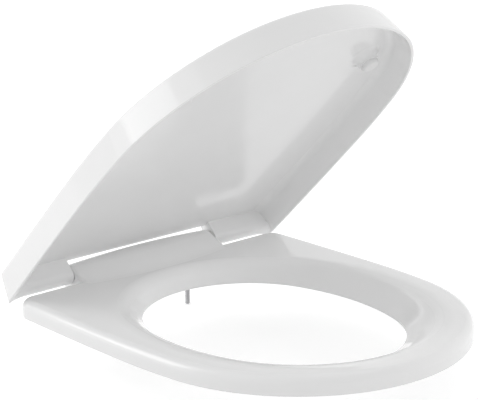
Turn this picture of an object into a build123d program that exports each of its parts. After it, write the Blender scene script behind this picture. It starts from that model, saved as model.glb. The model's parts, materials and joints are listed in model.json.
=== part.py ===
from build123d import *

import os
from math import acos, asin, cos, degrees, radians, tan

# Toilet seat with a lid that overlaps the ring, in millimetres.
# Origin: midway between the two fixing studs, on the top of the pan.
# +X is right seen from the front, +Y towards the wall, +Z up.
# The lid is drawn closed and then turned open about the hinge axis.

# Ring outline
front_reach = 443.0
front_tuck = 3.4
half_width = 185.0
side_radius = 690.0
rear_side_radius = 5000.0
wing_rear = -31.5
wing_corner_radius = 18.0

# Ring section
bumper_height = 8.0
ring_thickness = 20.0
ring_edge_radius = 9.0
ring_under_radius = 2.0
hole_half_width = 117.5
hole_front_share = 0.151
hole_rear_share = 0.183
oval_share = 0.164
hole_skirt = 3.0
hole_skirt_wall = 5.0
hole_lip = 2.5
hole_lip_radius = 1.0
dish_side = 30.0
dish_front = 33.0
dish_rear = 9.0
dish_blend_radius = 18.0
channel_depth = 9.0
channel_wall = 10.0
channel_hole_wall = 24.0
channel_rear = -118.0
channel_boss_radius = 14.0

# Hinge
axis_y = -13.5
axis_z = 32.5
pin_radius = 3.0
post_x = 77.5
post_width = 18.0
knuckle_radius = 6.0
column_thickness = 9.5
column_lead = 5.0
post_shoulder = 8.5
post_clearance = 1.0
knuckle_clearance = 0.6
running_clearance = 0.05
fixed_clearance = 0.02
bush_radius = 5.0
bush_flange_radius = 6.5
bush_flange = 0.9
lid_bush_length = 24.0
pin_end_gap = 0.5
grub_screw_radius = 1.5

# Hump that carries the ring's hinge
hump_half_width = 100.0
hump_top = 10.9
hump_rear = 10.9
hump_crown = 3.3
hump_slope = 25.5
hump_toe = -53.0
hump_toe_radius = 36.0
hump_lead = 0.3
hump_sink = 0.08
hump_toe_bow = 12.0
hump_end_ridge_radius = 12.0
hump_ridge_radius = 34.0
hump_rear_radius = 9.0
hump_under_radius = 8.0
hump_side_radius = 5.0

# Lid
lid_overhang = 6.2
rim_width = 3.6
rim_above_ring_bottom = 8.6
lid_depth = 35.2
lid_draft = 13.1
lid_floor = 5.8
lid_rear = -7.0
lid_corner_radius = 12.0
lid_edge_radius = 5.0
lid_floor_radius = 9.0
lug_root_radius = 1.2
rim_edge_radius = 0.8
lug_gap = 1.0
lug_thickness = 15.3
lug_bottom = 11.5
lug_front_radius = 9.0
lug_rear_radius = 4.0
lug_end_inset = 25.0
lug_end_radius = 85.0
cut_out_edge = -15.5
lid_open_angle = 45.0

# Bumpers
lid_bumper_inset = 58.7
lid_bumper_setback = 106.6
lid_bumper_radius = 10.0
lid_bumper_height = 5.0
lid_bumper_round = 3.5
lid_boss_radius = 11.0
lid_boss_height = 9.0
lid_boss_flare = 8.0
ring_bumper_radius = 11.0
ring_bumper_round = 2.5
front_bumper_inset = 95.0
front_bumper_setback = 66.0
rear_bumper_inset = 43.0
rear_bumper_y = -98.0
stem_radius = 3.0
stem_length = 6.0

# Feet and studs
gasket_thickness = 1.5
gasket_hole_radius = 5.6
foot_thickness = 3.0
foot_half_width = 12.0
foot_front = -33.5
foot_rear = 7.5
stud_radius = 2.6
stud_neck_radius = 3.0
stud_neck_end = 0.5
stud_length = 47.0
stud_chamfer = 0.8
stud_head_radius = 5.0

ring_bottom = bumper_height
ring_top = ring_bottom + ring_thickness
rim_z = ring_bottom + rim_above_ring_bottom
lid_top = rim_z + lid_depth
floor_z = lid_top - lid_floor
front_y = -front_reach
front_radius = half_width - front_tuck
hole_front = front_y + hole_front_share * front_reach
hole_rear = -hole_rear_share * front_reach
hinge_axis = Axis((0, axis_y, axis_z), (1, 0, 0))
lug_straight_end = half_width - lug_end_inset
lid_bumper_x = half_width - lid_bumper_inset
lid_bumper_y = front_y + lid_bumper_setback
front_bumper_x = half_width - front_bumper_inset
front_bumper_y = front_y + front_bumper_setback
rear_bumper_x = half_width - rear_bumper_inset
column_front = axis_y - column_lead - column_thickness
hump_start = hump_toe - hump_toe_radius * tan(radians(hump_slope / 2)) - hump_lead
lug_x = hump_half_width + lug_gap
boss_end = floor_z - lid_boss_height
foot_top = gasket_thickness + foot_thickness
SIDES = {"left": -1, "right": 1}
ring_bumper_places = {
    f"{row}_{name}": (side * x, y)
    for row, x, y in (("front", front_bumper_x, front_bumper_y), ("rear", rear_bumper_x, rear_bumper_y))
    for name, side in SIDES.items()
}
snap = 0.01
parts = {}


def outline(grow, rear):
    """D-shaped outline moved outwards by grow and cut straight at y = rear."""
    sweep = degrees(asin((side_radius - half_width) / (side_radius - front_radius)))
    front_centre = front_y + front_radius
    widest = front_centre + (side_radius - front_radius) * cos(radians(sweep))
    tail = degrees(asin((rear - widest) / (rear_side_radius + grow)))
    with BuildSketch() as sketch:
        with BuildLine():
            CenterArc((0, front_centre), front_radius + grow, -90, sweep)
            CenterArc((half_width - side_radius, widest), side_radius + grow, sweep - 90, 90 - sweep)
            last = CenterArc((half_width - rear_side_radius, widest), rear_side_radius + grow, 0, tail)
            Line(last @ 1, (0, rear))
            mirror(about=Plane.YZ)
        make_face()
    return sketch.sketch


def oval(half, front, rear, grow):
    """Oval of two end arcs and two flatter side arcs, moved outwards by grow."""
    middle = (front + rear) / 2
    reach = (rear - front) / 2
    end_radius = (half - oval_share * reach) / (1 - oval_share)
    end_offset = reach - end_radius
    side_radius = (half**2 + end_offset**2 - end_radius**2) / (2 * (half - end_radius))
    sweep = degrees(acos(end_offset / (side_radius - end_radius)))
    with BuildSketch() as sketch:
        with BuildLine():
            for end in (-1, 1):
                CenterArc((0, middle + end * end_offset), end_radius + grow, end * 90, -end * sweep)
                CenterArc((half - side_radius, middle), side_radius + grow, 0, end * (90 - sweep))
            mirror(about=Plane.YZ)
        make_face()
    return sketch.sketch


def hole_outline(grow):
    """Outline of the seat hole, moved outwards by grow."""
    return oval(hole_half_width, hole_front, hole_rear, grow)


def dish_outline():
    """Outline of the dish round the hole, in the ring's top."""
    return oval(hole_half_width + dish_side, hole_front - dish_front, hole_rear + dish_rear, 0)


def edges_near(shape, z):
    """Edges centred at the height z."""
    return [e for e in shape.edges() if abs(e.center().Z - z) < snap]


def upright_edges(shape, y):
    """Corner edges that rise at y."""
    return [e for e in shape.edges() if abs(e.center().Y - y) < 1 and e.bounding_box().size.Z > 10]


def bar(radius, x0, x1):
    """Round bar on the hinge axis from x0 to x1."""
    return Pos((x0 + x1) / 2, axis_y, axis_z) * Rot(0, 90, 0) * Cylinder(radius, abs(x1 - x0))


def side_box(x, half, y0, y1, z0, z1):
    """Box centred on x with the given half width, from y0 to y1 and z0 to z1."""
    return Pos(x, (y0 + y1) / 2, (z0 + z1) / 2) * Box(2 * half, y1 - y0, z1 - z0)


def rod(x, y, radius, z0, z1):
    """Upright round rod from z0 to z1."""
    return Pos(x, y, (z0 + z1) / 2) * Cylinder(radius, z1 - z0)


def hump_section(x):
    """Outline of the hump across x: a ramp up from the ring, a rounded ridge and an upright rear."""
    share = (x / hump_half_width) ** 2
    top = axis_z + hump_top - hump_crown * share
    toe = hump_toe + hump_toe_bow * share
    ridge = hump_ridge_radius + (hump_end_ridge_radius - hump_ridge_radius) * share
    toe_z = ring_top - hump_sink
    crest = toe + (top - toe_z) / tan(radians(hump_slope))
    with BuildSketch(Plane.YZ.offset(x)) as section:
        with BuildLine():
            FilletPolyline(
                (hump_start, 0),
                (hump_start, toe_z),
                (toe, toe_z),
                (crest, top),
                (axis_y + hump_rear, top),
                (axis_y + hump_rear, 0),
                radius=(0, 0, hump_toe_radius, ridge, hump_rear_radius, 0),
                close=True,
            )
        make_face()
    return section.sketch


def make_hump():
    """Raised rear centre of the ring: a ramp up to a rounded, crowned ridge at the hinge."""
    rear = axis_y + hump_rear
    hump = loft([hump_section(x) for x in (-hump_half_width, 0, hump_half_width)])
    hump &= Pos(0, 0, ring_bottom) * Box(
        4 * hump_half_width, 2 * front_reach, 4 * axis_z, align=(Align.CENTER, Align.CENTER, Align.MIN)
    )
    under = [e for e in edges_near(hump, ring_bottom) if abs(e.center().Y - rear) < snap]
    hump = fillet(under, hump_under_radius)
    ends = [e for e in hump.edges() if abs(abs(e.center().X) - hump_half_width) < snap]
    ends = [e for e in ends if e.center().Z > ring_bottom + snap and e.center().Y > hump_start + snap]
    return fillet(ends, hump_side_radius)


def make_ring():
    """Seat ring: rounded outer edge, a top that dishes down to the hole and a low skirt round the hole."""
    ring = extrude(Pos(0, 0, ring_bottom) * outline(0, wing_rear), ring_thickness)
    ring = fillet(upright_edges(ring, wing_rear), wing_corner_radius)
    ring = fillet(edges_near(ring, ring_top), ring_edge_radius)
    ring = fillet(edges_near(ring, ring_bottom), ring_under_radius)
    skirt_z = ring_bottom - hole_skirt
    lip_z = skirt_z + hole_lip
    ring += extrude(Pos(0, 0, skirt_z) * hole_outline(hole_skirt_wall), ring_thickness / 2)
    ring -= extrude(hole_outline(0), ring_top)
    outer = [e.center() for e in edges_near(ring, ring_top)]
    ring -= loft([Pos(0, 0, lip_z) * hole_outline(0), Pos(0, 0, ring_top) * dish_outline()], ruled=True)
    rim = [e for e in edges_near(ring, ring_top) if all((e.center() - c).length > snap for c in outer)]
    ring = fillet(rim, dish_blend_radius)
    ring = fillet(edges_near(ring, lip_z), hole_lip_radius)
    return ring


def under_channel():
    """Recess under the ring that keeps the wall even, with pads left for the front bumpers."""
    band = outline(-channel_wall, channel_rear) - hole_outline(channel_hole_wall)
    channel = extrude(Pos(0, 0, ring_bottom) * band, channel_depth)
    for side in SIDES.values():
        channel -= rod(side * front_bumper_x, front_bumper_y, channel_boss_radius, 0, ring_top)
    return channel


def post_pocket(side):
    """Space in the hump for a hinge post, open below and to the rear so that the ring can swing up."""
    half = post_width / 2 + post_clearance
    x = side * post_x
    space = side_box(x, half, column_front - post_clearance, hump_half_width, 0, axis_z + post_clearance)
    return space + bar(knuckle_radius + knuckle_clearance, x - half, x + half)


def make_seat_ring():
    """Ring and hump in one piece, with its pockets, bush bores and bumper holes."""
    ring = make_ring() + make_hump() - under_channel()
    for side in SIDES.values():
        ring -= post_pocket(side)
        ring -= bar(bush_radius + fixed_clearance, side * post_x, side * 2 * hump_half_width)
    for x, y in ring_bumper_places.values():
        ring -= rod(x, y, stem_radius + fixed_clearance, 0, ring_bottom + stem_length + fixed_clearance)
    return ring


def ring_bumper(x, y):
    """Soft foot below the ring, with a stem that plugs into it."""
    pad = rod(x, y, ring_bumper_radius, 0, bumper_height)
    pad = fillet(edges_near(pad, 0), ring_bumper_round)
    return pad + rod(x, y, stem_radius, bumper_height, bumper_height + stem_length)


def lid_blank(grow, top):
    """Drafted block of the lid's outline, from the rim up to the given height."""
    base = Pos(0, 0, rim_z) * outline(grow, lid_rear + 4 * lid_overhang)
    return extrude(base, top - rim_z, taper=lid_draft)


def behind(y):
    """Everything of the seat that lies behind y."""
    return side_box(0, 2 * half_width, y, y + front_reach, 0, 2 * lid_top)


def lug_relief(side):
    """Space below one lug, rounded at the front and rear; it runs down to the rim at the outer end."""
    low = axis_z - lug_bottom
    front = lid_rear - lug_thickness
    with BuildSketch(Plane.YZ) as profile:
        with BuildLine():
            Polyline((lid_rear - lug_rear_radius, low), (front + lug_front_radius, low))
            RadiusArc((front + lug_front_radius, low), (front, low + lug_front_radius), lug_front_radius)
            Polyline(
                (front, low + lug_front_radius),
                (front - lug_thickness, low + lug_front_radius),
                (front - lug_thickness, 0),
                (lid_rear + lug_thickness, 0),
                (lid_rear + lug_thickness, low + lug_rear_radius),
                (lid_rear, low + lug_rear_radius),
            )
            RadiusArc((lid_rear, low + lug_rear_radius), (lid_rear - lug_rear_radius, low), lug_rear_radius)
        make_face()
    straight = extrude(profile.sketch, lug_straight_end)
    bend = Axis((lug_straight_end, 0, low - lug_end_radius), (0, 1, 0))
    turn = degrees(acos(1 - (low - rim_z) / lug_end_radius))
    relief = straight + revolve(Pos(lug_straight_end, 0, 0) * profile.sketch, bend, turn)
    relief &= lid_blank(lid_overhang - rim_width, floor_z)
    return relief if side > 0 else mirror(relief, about=Plane.YZ)


def make_lid():
    """Closed lid: drafted wall, hinge lugs at the rear corners, a cut-out between them, bumper bosses."""
    lug_front = lid_rear - lug_thickness
    lid = lid_blank(lid_overhang, lid_top) - behind(lid_rear)
    lid = fillet(upright_edges(lid, lid_rear), lid_corner_radius)
    lid = fillet([e for e in lid.edges() if e.center().Z > lid_top - snap], lid_edge_radius)

    cavity = lid_blank(lid_overhang - rim_width, floor_z)
    floor_edges = [e for e in edges_near(cavity, floor_z) if e.center().Y < lid_rear]
    cavity = fillet(floor_edges, lid_floor_radius) - behind(lug_front)
    root_edges = [e for e in cavity.edges() if abs(e.center().Y - lug_front) < snap]
    root_edges = [e for e in root_edges if e.center().Z > rim_z + snap]
    cavity = fillet(root_edges, lug_root_radius)
    lid -= cavity
    lid = fillet(edges_near(lid, rim_z), rim_edge_radius)
    for side in SIDES.values():
        lid -= lug_relief(side)
    lid -= side_box(0, lug_x, lug_front - lug_thickness, lid_rear + lug_thickness, 0, floor_z)
    lid -= side_box(0, lug_x, cut_out_edge, lid_rear + lug_thickness, 0, 2 * lid_top)
    for side in SIDES.values():
        lid += rod(side * lid_bumper_x, lid_bumper_y, lid_boss_radius, boss_end, floor_z)
        bore_end = side * (lug_x + lid_bush_length + fixed_clearance)
        lid -= bar(bush_radius + fixed_clearance, side * hump_half_width, bore_end)
    round_edges = [e for e in edges_near(lid, floor_z) if e.geom_type == GeomType.CIRCLE]
    lid = fillet([e for e in round_edges if abs(e.radius - lid_boss_radius) < snap], lid_boss_flare)
    for side in SIDES.values():
        stem_hole = stem_radius + fixed_clearance
        lid -= rod(side * lid_bumper_x, lid_bumper_y, stem_hole, 0, boss_end + stem_length)
    return lid


def lid_bumper(side):
    """Soft domed stop on the lid's boss, with a stem that plugs into it."""
    x = side * lid_bumper_x
    cap = rod(x, lid_bumper_y, lid_bumper_radius, boss_end - lid_bumper_height, boss_end)
    cap = fillet(edges_near(cap, boss_end - lid_bumper_height), lid_bumper_round)
    return cap + rod(x, lid_bumper_y, stem_radius, boss_end, boss_end + stem_length - fixed_clearance)


def foot_outline(x):
    """Round-ended outline of a foot."""
    length = foot_rear - foot_front
    return Pos(x, (foot_front + foot_rear) / 2) * SlotOverall(length, 2 * foot_half_width, rotation=90)


def stud_solid(x, extra):
    """Countersunk stud; extra is added all round for its hole."""
    shank = rod(x, 0, stud_radius + extra, -stud_length, foot_top)
    neck = rod(x, 0, stud_neck_radius + extra, stud_neck_end, foot_top)
    head = Pos(x, 0, foot_top - foot_thickness / 2) * Cone(
        stud_neck_radius + extra, stud_head_radius + extra, foot_thickness
    )
    return shank + neck + head


def stud(side):
    """Fixing stud with a chamfered lower end."""
    shape = stud_solid(side * post_x, 0)
    return chamfer(edges_near(shape, -stud_length), stud_chamfer)


def hinge_post(side):
    """Cast post: a foot on the pan, a column ahead of the axis and a knuckle round the pin."""
    x = side * post_x
    column_rear = column_front + column_thickness
    arm = make_face(
        Plane.YZ * Polyline(
            (column_front, gasket_thickness + foot_thickness / 2),
            (column_front, axis_z - post_shoulder),
            (axis_y - knuckle_radius, axis_z),
            (axis_y, axis_z - knuckle_radius),
            (column_rear, axis_z - 2 * knuckle_radius),
            (column_rear, gasket_thickness + foot_thickness / 2),
            close=True,
        )
    )
    post = Pos(x, 0, 0) * extrude(arm, post_width / 2, both=True)
    post += bar(knuckle_radius, x - post_width / 2, x + post_width / 2)
    post += extrude(Pos(0, 0, gasket_thickness) * foot_outline(x), foot_thickness)
    post -= bar(pin_radius + fixed_clearance, x - post_width, x + post_width)
    post -= stud_solid(x, fixed_clearance)
    post -= grub_screw(side, fixed_clearance)
    return post


def base_gasket(side):
    """Rubber pad between a foot and the pan."""
    x = side * post_x
    pad = extrude(foot_outline(x), gasket_thickness)
    return pad - rod(x, 0, gasket_hole_radius, 0, foot_top)


def grub_screw(side, extra=0):
    """Set screw that holds the pin in the knuckle, driven from the rear."""
    length = knuckle_radius - pin_radius
    centre = axis_y + pin_radius + length / 2 + fixed_clearance
    return Pos(side * post_x, centre, axis_z) * Rot(90, 0, 0) * Cylinder(grub_screw_radius + extra, length)


def hinge_pin(side):
    """Steel pin from the post through the ring's bush into the lid's."""
    return bar(pin_radius, side * (post_x - post_width / 2), side * (lug_x + lid_bush_length - pin_end_gap))


def ring_bush(side):
    """Flanged sleeve in the end wall of the hump."""
    inner = post_x + post_width / 2 + post_clearance
    sleeve = bar(bush_radius, side * inner, side * hump_half_width)
    sleeve += bar(bush_flange_radius, side * hump_half_width, side * (hump_half_width + bush_flange))
    return sleeve - bar(pin_radius + running_clearance, 0, side * 2 * hump_half_width)


def lid_bush(side):
    """Sleeve in the lid's lug."""
    sleeve = bar(bush_radius, side * lug_x, side * (lug_x + lid_bush_length))
    return sleeve - bar(pin_radius + running_clearance, 0, side * 2 * half_width)


def opened(shape):
    """Turn a piece of the closed lid to its open rest."""
    return shape.rotate(hinge_axis, -lid_open_angle)


parts["seat_ring"] = make_seat_ring()
parts["lid"] = opened(make_lid())
for place, (x, y) in ring_bumper_places.items():
    parts[f"ring_bumper_{place}"] = ring_bumper(x, y)
for name, side in SIDES.items():
    parts[f"lid_bumper_{name}"] = opened(lid_bumper(side))
    parts[f"lid_bush_{name}"] = opened(lid_bush(side))
    parts[f"ring_bush_{name}"] = ring_bush(side)
    parts[f"hinge_pin_{name}"] = hinge_pin(side)
    parts[f"hinge_post_{name}"] = hinge_post(side)
    parts[f"grub_screw_{name}"] = grub_screw(side)
    parts[f"base_gasket_{name}"] = base_gasket(side)
    parts[f"stud_{name}"] = stud(side)

os.makedirs("parts", exist_ok=True)
for name, shape in parts.items():
    export_step(shape, f"parts/{name}.step")
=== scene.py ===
import json
from math import pi, radians, tan

import bmesh
import bpy
from mathutils import Euler, Matrix, Vector


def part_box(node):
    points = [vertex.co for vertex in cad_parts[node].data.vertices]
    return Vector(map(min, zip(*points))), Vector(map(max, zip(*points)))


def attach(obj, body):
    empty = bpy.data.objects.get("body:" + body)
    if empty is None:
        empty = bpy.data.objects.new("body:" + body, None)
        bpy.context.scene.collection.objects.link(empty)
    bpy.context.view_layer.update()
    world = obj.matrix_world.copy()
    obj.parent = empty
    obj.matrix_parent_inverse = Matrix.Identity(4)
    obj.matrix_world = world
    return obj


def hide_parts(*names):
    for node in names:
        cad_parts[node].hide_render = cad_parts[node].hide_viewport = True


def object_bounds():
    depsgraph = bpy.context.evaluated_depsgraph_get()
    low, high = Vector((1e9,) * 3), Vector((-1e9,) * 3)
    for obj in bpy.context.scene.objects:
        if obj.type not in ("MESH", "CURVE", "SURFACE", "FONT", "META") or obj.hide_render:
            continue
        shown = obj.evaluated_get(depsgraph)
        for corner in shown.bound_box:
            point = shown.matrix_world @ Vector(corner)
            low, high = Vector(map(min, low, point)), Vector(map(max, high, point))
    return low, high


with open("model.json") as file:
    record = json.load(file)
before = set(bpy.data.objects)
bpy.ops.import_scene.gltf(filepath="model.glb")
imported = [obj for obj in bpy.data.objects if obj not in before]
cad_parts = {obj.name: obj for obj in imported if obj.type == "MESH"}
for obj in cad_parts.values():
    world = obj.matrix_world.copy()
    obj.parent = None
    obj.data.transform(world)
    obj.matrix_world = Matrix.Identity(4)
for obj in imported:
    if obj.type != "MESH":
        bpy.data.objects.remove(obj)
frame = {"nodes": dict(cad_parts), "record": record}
cad_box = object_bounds()
scene = bpy.context.scene
nodes_by_name = frame["nodes"]

# Sizes of the small turned pieces, in metres
STUD_HEAD_TOP = 0.0045
STUD_HEAD_FOOT = 0.0015
STUD_HEAD_RADIUS = 0.005
STUD_NECK_RADIUS = 0.003
STUD_NECK_END = 0.0005
STUD_END = -0.047
STUD_END_CHAMFER = 0.0008
STUD_SOCKET_RADIUS = 0.0023
STUD_SOCKET_DEPTH = 0.002
GRUB_RADIUS = 0.0015
GRUB_BEVEL = GRUB_RADIUS / 5
GRUB_SOCKET_RADIUS = 0.00085
GRUB_SOCKET_DEPTH = 0.0014
THREAD_PITCH = 0.001
THREAD_CREST = 0.00295
THREAD_ROOT = 0.00245

# One turn of thread, as radius and share of the pitch
THREAD_PROFILE = (
    (THREAD_ROOT, 0.0),
    (THREAD_ROOT, 0.15),
    (THREAD_CREST, 0.45),
    (THREAD_CREST, 0.6),
    (THREAD_ROOT, 1.0),
)

# Fineness of the turned meshes
THREAD_STEPS = 24
ROUND_STEPS = 48
HEX_SIDES = 6
SHARP_ANGLE = radians(35)
SAME_PLACE = 1e-6

# Rim of the dish round the ring's hole, in metres: an oval of end arcs and flatter side arcs
RIM_MIDDLE = -0.24059
RIM_END_OFFSET = 0.02514
RIM_END_RADIUS = 0.14338
RIM_SIDE_OFFSET = 0.0746
RIM_SIDE_RADIUS = 0.2221
RIM_TURN = radians(34)
RIM_ROUND = 0.018
RIM_SOFT_ROUND = 0.055
RIM_LOWEST = 0.015
RIM_REAR_START = -0.15
RIM_REAR_END = -0.105

# Noise: detail of each layer, and the range that most noise values fill
MOTTLE_DETAIL = 3
GLOSS_DETAIL = 4
GRAIN_DETAIL = 2
NOISE_LOW = 0.25
NOISE_HIGH = 0.75

# Colour, polish and ripple of the white mouldings; a ripple is a bump's strength and depth
WHITE = (0.9, 0.9, 0.9)
LID_POLISH = {
    "Roughness Low": 0.12, "Roughness High": 0.15, "Gloss Scale": 25.0, "Grain Scale": 260.0,
}
RING_POLISH = {
    "Roughness Low": 0.09, "Roughness High": 0.13, "Gloss Scale": 25.0, "Grain Scale": 260.0,
}
RIPPLE = (0.06, 0.0002)
LID_SPECULAR = 0.32
RING_SPECULAR = 0.45

# Floor and surroundings
FLOOR_Z = cad_box[0][2]
FLOOR_GAP = 0.0005
FLOOR_REACH = 12.0
FLOOR_COLOUR = (0.9, 0.9, 0.9, 1.0)
FLOOR_ROUGHNESS = 0.9
FLOOR_LIFT = 0.37
AMBIENT = 0.705
PURE_WHITE = (1, 1, 1, 1)

# Soft lights, all facing AIM: name, place, width, height, watts, mirrored in gloss or not
AIM = (0, -0.2, 0.12)
LAMPS = (
    ("left_rear_softbox", (-1.55, 1.25, 1.2), 1.2, 1.2, 13, True),
    ("right_front_softbox", (1.8, -2.0, 1.0), 2.4, 2.0, 7, False),
    ("right_softbox", (2.4, -0.2, 0.8), 2.4, 2.0, 13, False),
    ("rear_softbox", (0.3, 2.2, 1.0), 1.8, 1.8, 6, True),
    ("front_low_softbox", (-0.3, -2.4, 0.12), 1.8, 0.3, 1.5, False),
)

# Cards standing on the floor beside the lid: name, height, glow
CARD_PLACE = Vector((-0.782, 0.263, FLOOR_Z))
CARD_FACING = Vector((0.893, -0.45, 0))
CARD_WIDTH = 0.63
CARDS = (("low_card", 0.65, 0.9), ("tall_card", 1.45, 1.0))

# Camera: lens in millimetres, place in metres, angles in degrees
SENSOR_WIDTH = 36.0
FOCAL_LENGTH = 141.52
CLIP_END = 50.0
CAMERA_PLACE = (-1.2413, -1.57147, 0.65956)
CAMERA_DOWN = 15.868
CAMERA_TURN = -41.68
CAMERA_ROLL = -0.3085


# Shared surface effects

def new_group(name, inputs, outputs):
    """Empty shader group with named value inputs and outputs."""
    group = bpy.data.node_groups.new(name, "ShaderNodeTree")
    for label, value in inputs.items():
        socket = group.interface.new_socket(label, in_out="INPUT", socket_type="NodeSocketFloat")
        socket.default_value = value
    for label in outputs:
        group.interface.new_socket(label, in_out="OUTPUT", socket_type="NodeSocketFloat")
    start = group.nodes.new("NodeGroupInput")
    end = group.nodes.new("NodeGroupOutput")
    return group, start, end


def feed(tree, value, socket):
    """Set a socket to a plain number, or link another socket to it."""
    if isinstance(value, (int, float)):
        socket.default_value = value
    else:
        tree.links.new(value, socket)


def reckon(tree, operation, *values):
    """Math node on sockets or plain numbers; returns its result."""
    node = tree.nodes.new("ShaderNodeMath")
    node.operation = operation
    for socket, value in zip(node.inputs, values):
        feed(tree, value, socket)
    return node.outputs[0]


def noise_value(tree, coords, scale, detail):
    """Noise texture read in the piece's own coordinates."""
    noise = tree.nodes.new("ShaderNodeTexNoise")
    noise.inputs["Detail"].default_value = detail
    tree.links.new(coords, noise.inputs["Vector"])
    tree.links.new(scale, noise.inputs["Scale"])
    return noise.outputs["Fac"]


def spread(tree, value, low, high):
    """Noise value spread between two sockets' values."""
    remap = tree.nodes.new("ShaderNodeMapRange")
    remap.inputs["From Min"].default_value = NOISE_LOW
    remap.inputs["From Max"].default_value = NOISE_HIGH
    tree.links.new(value, remap.inputs["Value"])
    tree.links.new(low, remap.inputs["To Min"])
    tree.links.new(high, remap.inputs["To Max"])
    return remap.outputs["Result"]


def make_surface_group():
    """Slow mottling of tone and gloss, and a fine grain for the bump."""
    group, start, end = new_group(
        "surface_grain",
        {
            "Mottle Scale": 9.0,
            "Tone Low": 0.97,
            "Tone High": 1.0,
            "Gloss Scale": 60.0,
            "Roughness Low": 0.1,
            "Roughness High": 0.16,
            "Grain Scale": 500.0,
        },
        ("Tone", "Roughness", "Grain"),
    )
    given = start.outputs
    coords = group.nodes.new("ShaderNodeTexCoord").outputs["Object"]
    mottle = noise_value(group, coords, given["Mottle Scale"], MOTTLE_DETAIL)
    gloss = noise_value(group, coords, given["Gloss Scale"], GLOSS_DETAIL)
    grain = noise_value(group, coords, given["Grain Scale"], GRAIN_DETAIL)
    tone = spread(group, mottle, given["Tone Low"], given["Tone High"])
    rough = spread(group, gloss, given["Roughness Low"], given["Roughness High"])
    group.links.new(tone, end.inputs["Tone"])
    group.links.new(rough, end.inputs["Roughness"])
    group.links.new(grain, end.inputs["Grain"])
    return group


def arc_gap(tree, x, y, radius):
    """Distance outside an arc of the given radius, from its centre's coordinates."""
    squares = reckon(tree, "ADD", reckon(tree, "POWER", x, 2), reckon(tree, "POWER", y, 2))
    return reckon(tree, "SUBTRACT", reckon(tree, "SQRT", squares), radius)


def rounding(tree, distance, radius):
    """How far a rounding of the given radius lies below the sharp rim, at a distance from it."""
    inside = reckon(tree, "SUBTRACT", radius * tan(RIM_TURN / 2), distance)
    reach = reckon(tree, "MAXIMUM", inside, 0)
    return reckon(tree, "DIVIDE", reckon(tree, "POWER", reach, 2), 2 * radius)


def make_rim_group():
    """Height that eases the rim of the dish into the flat of the ring."""
    group, _, end = new_group("dish_rim", {}, ("Height",))
    place = group.nodes.new("ShaderNodeSeparateXYZ")
    coords = group.nodes.new("ShaderNodeTexCoord").outputs["Object"]
    group.links.new(coords, place.inputs["Vector"])
    x, y, z = place.outputs
    across = reckon(group, "ABSOLUTE", x)
    along = reckon(group, "ABSOLUTE", reckon(group, "SUBTRACT", y, RIM_MIDDLE))
    beyond = reckon(group, "SUBTRACT", along, RIM_END_OFFSET)
    end_gap = arc_gap(group, across, beyond, RIM_END_RADIUS)
    side_across = reckon(group, "ADD", across, RIM_SIDE_OFFSET)
    side_gap = arc_gap(group, side_across, along, RIM_SIDE_RADIUS)
    lean = reckon(group, "MULTIPLY", across, RIM_END_OFFSET / RIM_SIDE_OFFSET)
    at_end = reckon(group, "GREATER_THAN", beyond, lean)
    step = reckon(group, "MULTIPLY", at_end, reckon(group, "SUBTRACT", end_gap, side_gap))
    distance = reckon(group, "ABSOLUTE", reckon(group, "ADD", side_gap, step))
    soft = rounding(group, distance, RIM_SOFT_ROUND)
    depth = reckon(group, "SUBTRACT", soft, rounding(group, distance, RIM_ROUND))
    fade = group.nodes.new("ShaderNodeMapRange")
    fade.interpolation_type = "SMOOTHSTEP"
    fade.inputs["From Min"].default_value = RIM_REAR_START
    fade.inputs["From Max"].default_value = RIM_REAR_END
    fade.inputs["To Min"].default_value = -1.0
    fade.inputs["To Max"].default_value = 0.0
    group.links.new(y, fade.inputs["Value"])
    above = reckon(group, "GREATER_THAN", z, RIM_LOWEST)
    share = reckon(group, "MULTIPLY", fade.outputs["Result"], above)
    group.links.new(reckon(group, "MULTIPLY", depth, share), end.inputs["Height"])
    return group


SURFACE = make_surface_group()
RIM = make_rim_group()


# Finishes

def finish(name, colour, settings, grain_bump, metallic=0.0, specular=0.5, rim=None):
    """Material with mottled tone and gloss and a fine grain over one colour; rim eases a rim."""
    material = bpy.data.materials.new(name)
    material.use_nodes = True
    tree = material.node_tree
    shader = tree.nodes["Principled BSDF"]
    shader.inputs["Metallic"].default_value = metallic
    shader.inputs["Specular IOR Level"].default_value = specular
    surface = tree.nodes.new("ShaderNodeGroup")
    surface.node_tree = SURFACE
    for label, value in settings.items():
        surface.inputs[label].default_value = value
    tint = tree.nodes.new("ShaderNodeMix")
    tint.data_type = "RGBA"
    tint.blend_type = "MULTIPLY"
    tint.inputs["Factor"].default_value = 1.0
    tint.inputs["A"].default_value = (*colour, 1.0)
    grey = tree.nodes.new("ShaderNodeCombineColor")
    for channel in ("Red", "Green", "Blue"):
        tree.links.new(surface.outputs["Tone"], grey.inputs[channel])
    tree.links.new(grey.outputs["Color"], tint.inputs["B"])
    tree.links.new(tint.outputs["Result"], shader.inputs["Base Color"])
    tree.links.new(surface.outputs["Roughness"], shader.inputs["Roughness"])
    grain = tree.nodes.new("ShaderNodeBump")
    grain.inputs["Strength"].default_value, grain.inputs["Distance"].default_value = grain_bump
    tree.links.new(surface.outputs["Grain"], grain.inputs["Height"])
    tree.links.new(grain.outputs["Normal"], shader.inputs["Normal"])
    if rim:
        height = tree.nodes.new("ShaderNodeGroup")
        height.node_tree = rim
        ease = tree.nodes.new("ShaderNodeBump")
        ease.inputs["Strength"].default_value = 1.0
        ease.inputs["Distance"].default_value = 1.0
        tree.links.new(height.outputs["Height"], ease.inputs["Height"])
        tree.links.new(ease.outputs["Normal"], grain.inputs["Normal"])
    return material


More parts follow.
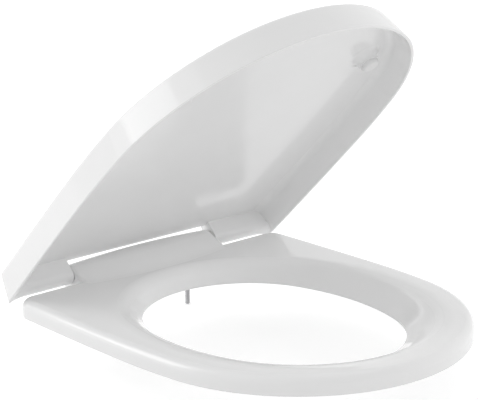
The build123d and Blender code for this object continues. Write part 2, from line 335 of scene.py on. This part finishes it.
FINISHES = {
    "moulding": finish("white_moulding", WHITE, LID_POLISH, RIPPLE, specular=LID_SPECULAR),
    "bumper": finish(
        "soft_bumper",
        (0.8, 0.8, 0.8),
        {
            "Roughness Low": 0.38,
            "Roughness High": 0.5,
            "Gloss Scale": 300.0,
            "Grain Scale": 1800.0,
        },
        (0.2, 0.0001),
    ),
    "bush": finish(
        "bearing_plastic",
        (0.74, 0.74, 0.72),
        {
            "Roughness Low": 0.32,
            "Roughness High": 0.42,
            "Gloss Scale": 400.0,
            "Grain Scale": 2000.0,
        },
        (0.15, 0.0001),
    ),
    "casting": finish(
        "satin_casting",
        (0.62, 0.62, 0.63),
        {
            "Tone Low": 0.9,
            "Roughness Low": 0.28,
            "Roughness High": 0.4,
            "Gloss Scale": 250.0,
            "Grain Scale": 1500.0,
        },
        (0.25, 0.0001),
        metallic=1.0,
    ),
    "steel": finish(
        "bright_steel",
        (0.58, 0.58, 0.59),
        {
            "Tone Low": 0.92,
            "Roughness Low": 0.24,
            "Roughness High": 0.34,
            "Gloss Scale": 700.0,
            "Grain Scale": 2500.0,
        },
        (0.12, 0.00005),
        metallic=1.0,
    ),
    "gasket": finish(
        "pale_rubber",
        (0.62, 0.62, 0.62),
        {
            "Tone Low": 0.93,
            "Roughness Low": 0.55,
            "Roughness High": 0.7,
            "Gloss Scale": 300.0,
            "Grain Scale": 1600.0,
        },
        (0.3, 0.0001),
    ),
}
RING_FINISH = finish(
    "white_ring_moulding", WHITE, RING_POLISH, RIPPLE, specular=RING_SPECULAR, rim=RIM
)

for part in frame["record"]["subparts"]:
    mesh = nodes_by_name[part["node"]].data
    mesh.materials.clear()
    mesh.materials.append(FINISHES[part["material_slot"]])
ring_materials = nodes_by_name["seat_ring"].data.materials
ring_materials.clear()
ring_materials.append(RING_FINISH)


# Turned and threaded pieces

def piece_from(bm, name, slot, body, node):
    """Finish a mesh as a smooth piece that rides a body in place of a CAD node."""
    bmesh.ops.remove_doubles(bm, verts=bm.verts, dist=SAME_PLACE)
    bmesh.ops.recalc_face_normals(bm, faces=bm.faces)
    mesh = bpy.data.meshes.new(name)
    bm.to_mesh(mesh)
    bm.free()
    mesh.materials.append(FINISHES[slot])
    piece = bpy.data.objects.new(name, mesh)
    scene.collection.objects.link(piece)
    mesh.shade_smooth()
    mesh.set_sharp_from_angle(angle=SHARP_ANGLE)
    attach(piece, body)
    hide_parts(node)


def start_profile(bm, profile):
    """Vertices and edges of a profile of (radius, height) points, ready to spin."""
    verts = [bm.verts.new((radius, 0, height)) for radius, height in profile]
    edges = [bm.edges.new(pair) for pair in zip(verts, verts[1:])]
    return verts + edges


def open_rim(bm, height):
    """Open edges that lie at a height."""
    return [
        edge for edge in bm.edges
        if edge.is_boundary and all(abs(v.co.z - height) < SAME_PLACE for v in edge.verts)
    ]


def turned_side(bm, profile):
    """Spin a profile round the Z axis; returns the open rims at its first and last points."""
    bmesh.ops.spin(
        bm,
        geom=start_profile(bm, profile),
        cent=(0, 0, 0),
        axis=(0, 0, 1),
        angle=2 * pi,
        steps=ROUND_STEPS,
        use_merge=True,
    )
    return open_rim(bm, profile[0][1]), open_rim(bm, profile[-1][1])


def hex_socket(bm, rim, top, radius, depth):
    """Close a round rim with a flat end that has a hexagon socket in it."""
    at_top = Matrix.Translation((0, 0, top))
    made = bmesh.ops.create_circle(bm, segments=HEX_SIDES, radius=radius, matrix=at_top)
    loop = list(dict.fromkeys(edge for v in made["verts"] for edge in v.link_edges))
    bmesh.ops.subdivide_edges(bm, edges=loop, cuts=ROUND_STEPS // HEX_SIDES - 1)
    loop = [edge for edge in bm.edges if not edge.link_faces]
    bmesh.ops.bridge_loops(bm, edges=rim + loop)
    wall = bmesh.ops.extrude_edge_only(bm, edges=loop)["geom"]
    low = [g for g in wall if isinstance(g, bmesh.types.BMVert)]
    bmesh.ops.translate(bm, vec=(0, 0, -depth), verts=low)
    wall_edges = [g for g in wall if isinstance(g, bmesh.types.BMEdge)]
    floor_edges = [edge for edge in wall_edges if all(v in low for v in edge.verts)]
    bmesh.ops.edgeloop_fill(bm, edges=floor_edges)


def add_thread(bm, top, bottom):
    """Threaded shank between two heights, closed at both ends and chamfered at the lower one."""
    first = bottom - THREAD_PITCH
    turns = int((top - first) / THREAD_PITCH) + 1
    profile = [(radius, first + share * THREAD_PITCH) for radius, share in THREAD_PROFILE]
    bmesh.ops.spin(
        bm,
        geom=start_profile(bm, profile),
        cent=(0, 0, 0),
        axis=(0, 0, 1),
        dvec=(0, 0, THREAD_PITCH / THREAD_STEPS),
        angle=2 * pi * turns,
        steps=THREAD_STEPS * turns,
    )
    bmesh.ops.remove_doubles(bm, verts=bm.verts, dist=SAME_PLACE)
    for height, way in ((top, 1), (bottom + STUD_END_CHAMFER, -1)):
        bmesh.ops.bisect_plane(
            bm,
            geom=bm.verts[:] + bm.edges[:] + bm.faces[:],
            plane_co=(0, 0, height),
            plane_no=(0, 0, way),
            clear_outer=True,
        )
        end = bmesh.ops.edgeloop_fill(bm, edges=open_rim(bm, height))["faces"]
    tip = bmesh.ops.extrude_face_region(bm, geom=end)["geom"]
    bmesh.ops.delete(bm, geom=end, context="FACES_ONLY")
    tip_verts = [g for g in tip if isinstance(g, bmesh.types.BMVert)]
    shrink = 1 - STUD_END_CHAMFER / THREAD_CREST
    bmesh.ops.scale(bm, vec=(shrink, shrink, 1), verts=tip_verts)
    bmesh.ops.translate(bm, vec=(0, 0, -STUD_END_CHAMFER), verts=tip_verts)


def make_stud(side):
    """Countersunk stud with a socket in its head and a thread below its neck."""
    node = f"stud_{side}"
    low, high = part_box(node)
    centre = (low + high) / 2
    shank = bmesh.new()
    add_thread(shank, (STUD_NECK_END + STUD_HEAD_FOOT) / 2, STUD_END)
    shank_mesh = bpy.data.meshes.new("shank")
    shank.to_mesh(shank_mesh)
    shank.free()
    bm = bmesh.new()
    profile = [
        (STUD_HEAD_RADIUS, STUD_HEAD_TOP),
        (STUD_NECK_RADIUS, STUD_HEAD_FOOT),
        (STUD_NECK_RADIUS, STUD_NECK_END),
    ]
    top_rim, bottom_rim = turned_side(bm, profile)
    bmesh.ops.edgeloop_fill(bm, edges=bottom_rim)
    hex_socket(bm, top_rim, STUD_HEAD_TOP, STUD_SOCKET_RADIUS, STUD_SOCKET_DEPTH)
    bm.from_mesh(shank_mesh)
    bpy.data.meshes.remove(shank_mesh)
    bmesh.ops.translate(bm, vec=(centre.x, centre.y, 0), verts=bm.verts)
    piece_from(bm, f"threaded_{node}", "steel", "base", node)


def make_grub_screw(side):
    """Set screw with a hexagon socket, driven in from the rear."""
    node = f"grub_screw_{side}"
    low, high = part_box(node)
    length = high.y - low.y
    bm = bmesh.new()
    profile = [
        (GRUB_RADIUS - GRUB_BEVEL, 0),
        (GRUB_RADIUS, -GRUB_BEVEL),
        (GRUB_RADIUS, GRUB_BEVEL - length),
        (GRUB_RADIUS - GRUB_BEVEL, -length),
    ]
    top_rim, bottom_rim = turned_side(bm, profile)
    bmesh.ops.edgeloop_fill(bm, edges=bottom_rim)
    hex_socket(bm, top_rim, 0, GRUB_SOCKET_RADIUS, GRUB_SOCKET_DEPTH)
    turn = Matrix.Rotation(radians(-90), 4, "X")
    place = Matrix.Translation(((low.x + high.x) / 2, high.y, (low.z + high.z) / 2))
    bmesh.ops.transform(bm, matrix=place @ turn, verts=bm.verts)
    piece_from(bm, f"socket_{node}", "steel", "base", node)


for side in ("left", "right"):
    make_stud(side)
    make_grub_screw(side)


# Floor, light and camera

def seen_directly(tree):
    """1 for rays that should see the white background, 0 for the rays that light the object."""
    path = tree.nodes.new("ShaderNodeLightPath").outputs
    either = reckon(tree, "MAXIMUM", path["Is Camera Ray"], path["Is Glossy Ray"])
    return reckon(tree, "MAXIMUM", either, path["Is Transmission Ray"])


def make_world():
    """Even soft surroundings, white where they are seen."""
    world = bpy.data.worlds.new("studio")
    world.use_nodes = True
    tree = world.node_tree
    background = tree.nodes["Background"]
    background.inputs["Color"].default_value = PURE_WHITE
    level = tree.nodes.new("ShaderNodeMapRange")
    level.inputs["To Min"].default_value = AMBIENT
    level.inputs["To Max"].default_value = 1.0
    tree.links.new(seen_directly(tree), level.inputs["Value"])
    tree.links.new(level.outputs["Result"], background.inputs["Strength"])
    scene.world = world


def make_floor():
    """Plain pale floor that keeps the shadow."""
    bm = bmesh.new()
    bmesh.ops.create_grid(bm, x_segments=1, y_segments=1, size=FLOOR_REACH)
    bmesh.ops.translate(bm, vec=(0, 0, FLOOR_Z - FLOOR_GAP), verts=bm.verts)
    mesh = bpy.data.meshes.new("floor")
    bm.to_mesh(mesh)
    bm.free()
    material = bpy.data.materials.new("pale_floor")
    material.use_nodes = True
    tree = material.node_tree
    shader = tree.nodes["Principled BSDF"]
    shader.inputs["Base Color"].default_value = FLOOR_COLOUR
    shader.inputs["Roughness"].default_value = FLOOR_ROUGHNESS
    shader.inputs["Specular IOR Level"].default_value = 0.0
    shader.inputs["Emission Color"].default_value = PURE_WHITE
    lift = reckon(tree, "MULTIPLY", seen_directly(tree), FLOOR_LIFT)
    tree.links.new(lift, shader.inputs["Emission Strength"])
    mesh.materials.append(material)
    floor = bpy.data.objects.new("floor", mesh)
    scene.collection.objects.link(floor)


def softbox(name, place, aim, width, height, watts, mirrored=True):
    """Rectangular soft light at place, facing aim; mirrored where its reflection shows in gloss."""
    lamp = bpy.data.lights.new(name, "AREA")
    lamp.shape = "RECTANGLE"
    lamp.size = width
    lamp.size_y = height
    lamp.energy = watts
    holder = bpy.data.objects.new(name, lamp)
    scene.collection.objects.link(holder)
    holder.location = place
    holder.rotation_euler = (Vector(aim) - Vector(place)).to_track_quat("-Z", "Y").to_euler()
    holder.visible_glossy = mirrored
    return holder


def reflector(name, height, glow):
    """Standing card beside the lid that shows only as a reflection in gloss."""
    place = CARD_PLACE + Vector((0, 0, height / 2))
    watts = glow * pi * CARD_WIDTH * height
    card = softbox(name, place, place + CARD_FACING, CARD_WIDTH, height, watts)
    card.visible_diffuse = False
    card.visible_camera = False


def make_camera():
    """Camera at the picture's viewing angle."""
    lens = bpy.data.cameras.new("camera")
    lens.sensor_width = SENSOR_WIDTH
    lens.lens = FOCAL_LENGTH
    lens.clip_end = CLIP_END
    holder = bpy.data.objects.new("camera", lens)
    scene.collection.objects.link(holder)
    holder.location = CAMERA_PLACE
    aimed = Euler((radians(90 - CAMERA_DOWN), 0, radians(CAMERA_TURN))).to_matrix()
    rolled = aimed @ Matrix.Rotation(radians(CAMERA_ROLL), 3, "Z")
    holder.rotation_euler = rolled.to_euler()
    scene.camera = holder


make_world()
make_floor()
for name, place, width, height, watts, mirrored in LAMPS:
    softbox(name, place, AIM, width, height, watts, mirrored)
for name, height, glow in CARDS:
    reflector(name, height, glow)
make_camera()
scene.view_settings.view_transform = "Standard"
